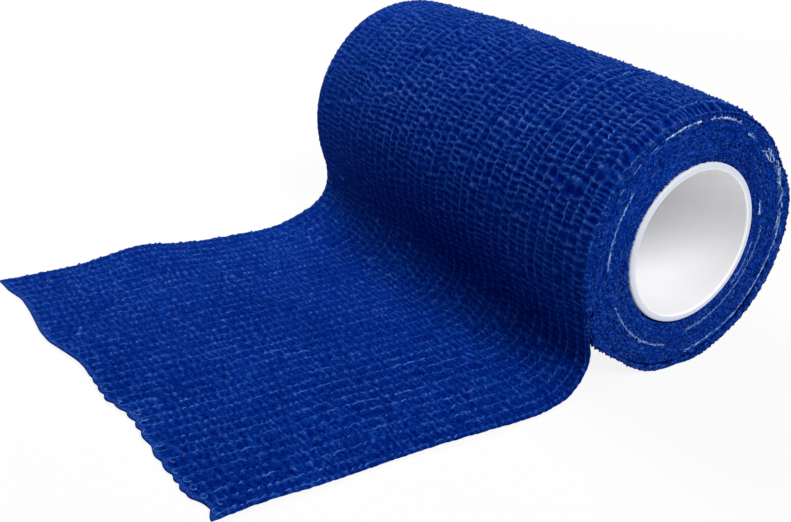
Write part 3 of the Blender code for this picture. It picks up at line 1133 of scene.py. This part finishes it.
def tuft_tree():
    """A node tree that scatters small uneven lumps over a surface."""
    sizes = {"Per square metre": "Float", "Smallest": "Float", "Largest": "Float", "Seed": "Int"}
    inputs = {"Surface": "Geometry", **sizes, "Finish": "Material"}
    tree, given = new_tree("tufts_on_surface", inputs, "Tufts")
    scattered = {"Mesh": given["Surface"], "Density": given["Per square metre"], "Seed": given["Seed"]}
    points = add(tree, "GeometryNodeDistributePointsOnFaces", scattered).outputs["Points"]
    lump = add(tree, "GeometryNodeMeshUVSphere", {"Radius": 1, "Segments": 4, "Rings": 2}).outputs["Mesh"]
    turned = random_vector(tree, (0, 0, 0), FULL_TURN, 3)
    size = random_vector(tree, given["Smallest"], given["Largest"], 4)
    placed = {"Points": points, "Instance": lump, "Rotation": turned, "Scale": size}
    lumps = add(tree, "GeometryNodeInstanceOnPoints", placed).outputs["Instances"]
    tones = {2: 0.1, 3: 0.85, "Seed": 5}
    tone = add(tree, "FunctionNodeRandomValue", tones, data_type="FLOAT").outputs[1]
    lumps = keep_value(tree, lumps, "crest", tone, data_type="FLOAT", domain="INSTANCE")
    lumps = add(tree, "GeometryNodeRealizeInstances", {"Geometry": lumps}).outputs["Geometry"]
    spot = add(tree, "GeometryNodeInputPosition").outputs["Position"]
    lumps = keep_value(tree, lumps, "strip_place", spot, data_type="FLOAT_VECTOR", domain="POINT")
    return end_tree(tree, lumps, given["Finish"])


tufts_on_surface = tuft_tree()
print("tree:", tufts_on_surface.name, "with", len(tufts_on_surface.nodes), "nodes")

# %% Tufts on the two ends
TUFT_RINGS = 12
RING_POINTS = 97
TUFT_ROOM = 0.28 * MM
TUFT_DEPTH = 0.12 * MM


def tufts_over(name, points, faces, seed):
    surface = new_piece(name, points, faces, crepe)
    return run_tree(surface, tufts_on_surface, **TUFT_SIZES, Seed=seed, Finish=crepe)


def end_tufts(name, side, seed):
    """Tufts on one end of the roll, clear of the outermost turn."""
    radii = np.linspace(PACK_INNER - 0.1 * MM, PACK_RADIUS - TUFT_ROOM, TUFT_RINGS)
    around = np.linspace(0, 2 * math.pi, RING_POINTS)[:, None]
    points = round_axis(side * (end_level(radii) - TUFT_DEPTH), radii, around)
    return tufts_over(name, points, grid_faces(RING_POINTS, TUFT_RINGS), seed)


near_tufts = end_tufts("near_end_tufts", 1, 7)
far_tufts = end_tufts("far_end_tufts", -1, 8)

# %% Tufts on the rims of the outermost turn
FAR_LIP, NEAR_LIP = slice(1, 5), slice(-5, -1)
FRONT_RIM_END = PATH_RADIUS * math.radians(112)
TUFT_OFF_FLOOR = 0.2 * MM


def edge_band(sheet, columns, chosen, rows=None):
    """The chosen columns of a sheet's grid, as points of their own."""
    places = np.empty(len(sheet.data.vertices) * 3, np.float32)
    sheet.data.vertices.foreach_get("co", places)
    return places.reshape(-1, columns, 3)[:rows, chosen].astype(float)


def rim_tufts(name, bands, seed):
    """Tufts on the rims of the outermost turn, clear of the turns inside it and of the floor."""
    points, faces, count = [], [], 0
    middle = np.array([0, AXIS_HEIGHT])
    for band in bands:
        arm = band[..., 1:] - middle
        radius = np.linalg.norm(arm, axis=-1, keepdims=True)
        band[..., 1:] = middle + arm * np.maximum(PACK_RADIUS + TUFT_ROOM, radius) / radius
        band[..., 2] = np.maximum(band[..., 2], TUFT_OFF_FLOOR)
        points.append(band.reshape(-1, 3))
        faces.append(grid_faces(*band.shape[:2]) + count)
        count += len(points[-1])
    return tufts_over(name, np.concatenate(points), np.concatenate(faces), seed)


lip_columns = across.size + 2 * LIPS
rim_bands = [edge_band(sheet, lip_columns, lip)
             for sheet in (back_sheet, turn_sheet) for lip in (FAR_LIP, NEAR_LIP)]
rows_on_roll = int(np.searchsorted(front_rows[:, -1], FRONT_RIM_END))
near_edge_columns = slice(across.size - 1, across.size + 1)
rim_bands.append(edge_band(front_sheet, 2 * across.size, near_edge_columns, rows_on_roll))
turn_tufts = rim_tufts("outer_turn_tufts", rim_bands, 9)

# %% [markdown]
# ## Loose threads on the end
# Here and there a pale elastic yarn has come loose at the edge of a turn and lies along it. Each is an
# arc on the end of the roll, given by a few points on it, in degrees from the level and millimetres from
# the axis, and by how pale it is. Fuzzy strands in short lengths follow each arc. At the right a whole
# turn has frayed.

# %% Where the threads lie
LOOSE_ARCS = [
    ([144, 165, 183], [22.5, 22.2, 22.0], 0.75),
    ([206, 235, 260], [20.8, 20.9, 21.2], 0.65),
    ([-83, -70, -54, -36, -22, -6, 7], [24.1, 24.0, 24.5, 24.5, 24.8, 25.1, 24.5], 0.75),
    ([-83, -40, 0], [19.0, 18.8, 19.3], 0.5),
    ([-40, -9], [17.5, 17.5], 0.4),
    ([98, 109, 118], [24.9, 25.1, 25.3], 0.85),
    ([71, 80, 92], [24.2, 24.7, 24.9], 0.8),
    ([58, 64], [22.9, 23.0], 0.8),
    ([9, 20], [18.3, 18.4], 0.9),
    ([122, 126], [25.5, 25.5], 0.5),
    ([133, 138], [25.5, 25.5], 0.6),
    ([145, 148], [25.5, 25.5], 0.5),
]
FRAYED_ANGLES = [-4, 10, 25, 46]
FRAYED_RADII = [24.9, 24.7, 24.2, 23.2]
LOOSE_STEP = 0.2 * MM
THREAD_ROOM = 0.3 * MM


def loose_strand(angle, radius, pale, chance):
    """One strand on the end of the roll, uneven in place, thickness and tone."""
    run = np.arange(len(angle)) * LOOSE_STEP
    lane = chance.uniform(0, 200)
    radius = radius + 0.1 * MM * wander(run / (0.8 * MM), lane, 51) + chance.uniform(-0.12, 0.12) * MM
    radius = np.minimum(radius, PACK_RADIUS - THREAD_ROOM)
    out = end_level(radius) + 0.1 * MM + 0.12 * MM * wander(run / (1.1 * MM), lane, 52)
    tone = np.clip(pale * (0.8 + 0.7 * wander(run / (0.8 * MM), lane, 53)), 0, 1)
    thick = 0.85 + 0.45 * wander(run / (0.7 * MM), lane, 54)
    return round_axis(out, radius, angle), thick, tone


print(len(LOOSE_ARCS), "loose arcs and a frayed turn")

# %% Strands and fuzz
ARC_STRANDS = 3
FUZZ_SPACING = 0.4 * MM
FRAYED_STRANDS = 110


def arc_threads(angles, radii, pale, chance):
    """Strands with gaps in them along one arc, and the fuzz that stands across it."""
    lines = []
    length = math.radians(angles[-1] - angles[0]) * radii[0] * MM
    turned = np.linspace(angles[0], angles[-1], int(length / LOOSE_STEP) + 3)
    angle, radius = np.radians(turned), np.interp(turned, angles, radii) * MM
    for strand in range(ARC_STRANDS):
        first = 0
        while first < len(angle) - 3:
            last = first + int(chance.integers(4, 12))
            lines.append(loose_strand(angle[first:last], radius[first:last], pale, chance))
            first = last + int(chance.integers(0, 5))
    for fuzz in range(int(length / FUZZ_SPACING)):
        at = chance.integers(0, len(angle))
        lean = np.linspace(-0.5, 0.5, 4) * chance.uniform(0.4, 1.0) * MM
        reach = chance.uniform(-1, 1) * lean
        lines.append(loose_strand(angle[at] + lean / radius[at], radius[at] + reach, 0.7 * pale, chance))
    return lines


def frayed_thread(chance):
    """One short strand of the frayed turn, at a slant."""
    length = chance.uniform(0.4, 1.8) * MM
    run = np.linspace(-0.5, 0.5, int(length / LOOSE_STEP) + 2)
    place = chance.uniform(FRAYED_ANGLES[0], FRAYED_ANGLES[-1])
    radius = np.interp(place, FRAYED_ANGLES, FRAYED_RADII) + chance.uniform(-0.7, 0.7)
    radius = radius * MM + run * length * chance.uniform(-0.6, 0.6)
    angle = math.radians(place) + run * length / radius
    return loose_strand(angle, radius, chance.choice([0.3, 0.8, 1.3]), chance)


loose_chance = np.random.default_rng(50)
loose_lines = []
for angles, radii, pale in LOOSE_ARCS:
    loose_lines += arc_threads(angles, radii, pale, loose_chance)
loose_lines += [frayed_thread(loose_chance) for strand in range(FRAYED_STRANDS)]
loose_lines = [line for line in loose_lines if len(line[0]) > 2]
print(len(loose_lines), "short strands")

# %% The loose threads
LOOSE_RADIUS = 0.11 * MM
LOOSE_STOPS = [(0.0, (0.01, 0.06, 0.3)), (0.5, (0.12, 0.23, 0.57)), (1.0, (0.55, 0.65, 0.88))]
loose_finish = cloth_finish("loose_yarn", "pale", LOOSE_STOPS, YARN_FIBRES, EVEN_DYE)
loose_yarns = sweep_lines("loose_end_yarns", loose_lines, LOOSE_RADIUS, YARN_SIDES, loose_finish)

# %% [markdown]
# ## The core
# The core is a smooth white tube. Its rim is rounded, and a profile turned about the axis makes it in one
# piece. Its rim's flat face is painted a little darker and bluer than the rest, as painted shade, so it
# gets a value of its own.

# %% The core's finish
CORE_WHITES = [(0.3, (0.93, 0.93, 0.95)), (0.7, (0.97, 0.97, 0.98))]
# The rim colour is painted shade: it darkens the rim's flat face and turns it a little blue.
RIM_PAINTED_SHADE = [(0.0, grey(1)), (1.0, (0.64, 0.67, 0.77))]
CORE_GLOSS = [(0.3, grey(0.42)), (0.7, grey(0.55))]


def white_finish():
    """Smooth white, with a slow change of tone, a fine one of gloss, and painted shade on the rim's flat
    face.
    """
    material, tree, shader = new_finish("white_core")
    place = add(tree, "ShaderNodeTexCoord").outputs["Object"]
    tone = ramp(tree, noise_on(tree, place, 90, 4), CORE_WHITES)
    rim_shade = ramp(tree, point_value(tree, "rim"), RIM_PAINTED_SHADE)
    gloss = ramp(tree, noise_on(tree, place, 900), CORE_GLOSS)
    fill(tree, shader, {"Base Color": multiply(tree, tone, rim_shade), "Roughness": gloss})
    fine_bump(tree, shader, noise_on(tree, place, 1500), 0.2, 0.03 * MM)
    return material


core_white = white_finish()
print("finish:", core_white.name)

# %% The core
CORE_WALL = 1.5 * MM
CORE_CORNER = 0.45 * MM
CORNER_POINTS = 6
CORE_SIDES = 160


def core_profile():
    """The tube's section, as x and radius, round its rounded rims."""
    half_wall = CORE_WALL / 2
    middle = CORE_RADIUS - half_wall
    points = []
    for side in (1, -1):
        for wall in (1, -1)[::side]:
            for step in np.linspace(0, math.pi / 2, CORNER_POINTS)[::side * wall]:
                x = side * (CORE_HALF - CORE_CORNER + CORE_CORNER * math.sin(step))
                radius = middle + wall * (half_wall - CORE_CORNER + CORE_CORNER * math.cos(step))
                points.append((x, radius))
    return np.array(points).T


core_x, core_r = core_profile()
around = np.linspace(0, 2 * math.pi, CORE_SIDES, endpoint=False)[:, None]
core_points = round_axis(core_x, core_r, around)
core_faces = grid_faces(CORE_SIDES + 1, core_x.size, round_and_round=True) % (CORE_SIDES * core_x.size)
off_bore = core_r - CORE_RADIUS + CORE_WALL
# Where the painted shade goes: the rim's flat face.
core_rim_shade_mask = rise(np.abs(core_x) - CORE_HALF, -0.35, 0.3) * rise(off_bore, 0.15, 0.35)
core = new_piece("core_tube_white", core_points, core_faces, core_white, rim=np.tile(core_rim_shade_mask, CORE_SIDES))

# %% [markdown]
# ## Tie most pieces to what carries them
# The sheets replace the plain strips. The front and the tail sheets and their yarns only have their
# placing made part of their points, and ride on no body. Every other piece rides on one body.

# %% Ride and replace
for piece in (back_sheet, turn_sheet, turn_yarns, turn_tufts):
    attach(piece, "wrap_outer")
for piece in (front_sheet, front_yarns):
    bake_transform(piece)
for piece in (tail_sheet, tail_yarns):
    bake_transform(piece)
for piece in (pack, near_tufts, far_tufts, loose_yarns):
    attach(piece, "roll")
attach(core, "core")
for piece in (back_sheet, turn_sheet, front_sheet):
    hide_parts("outer_turn")
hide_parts("tail", "tail_end")
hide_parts("wound_turns")
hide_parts("core_tube")
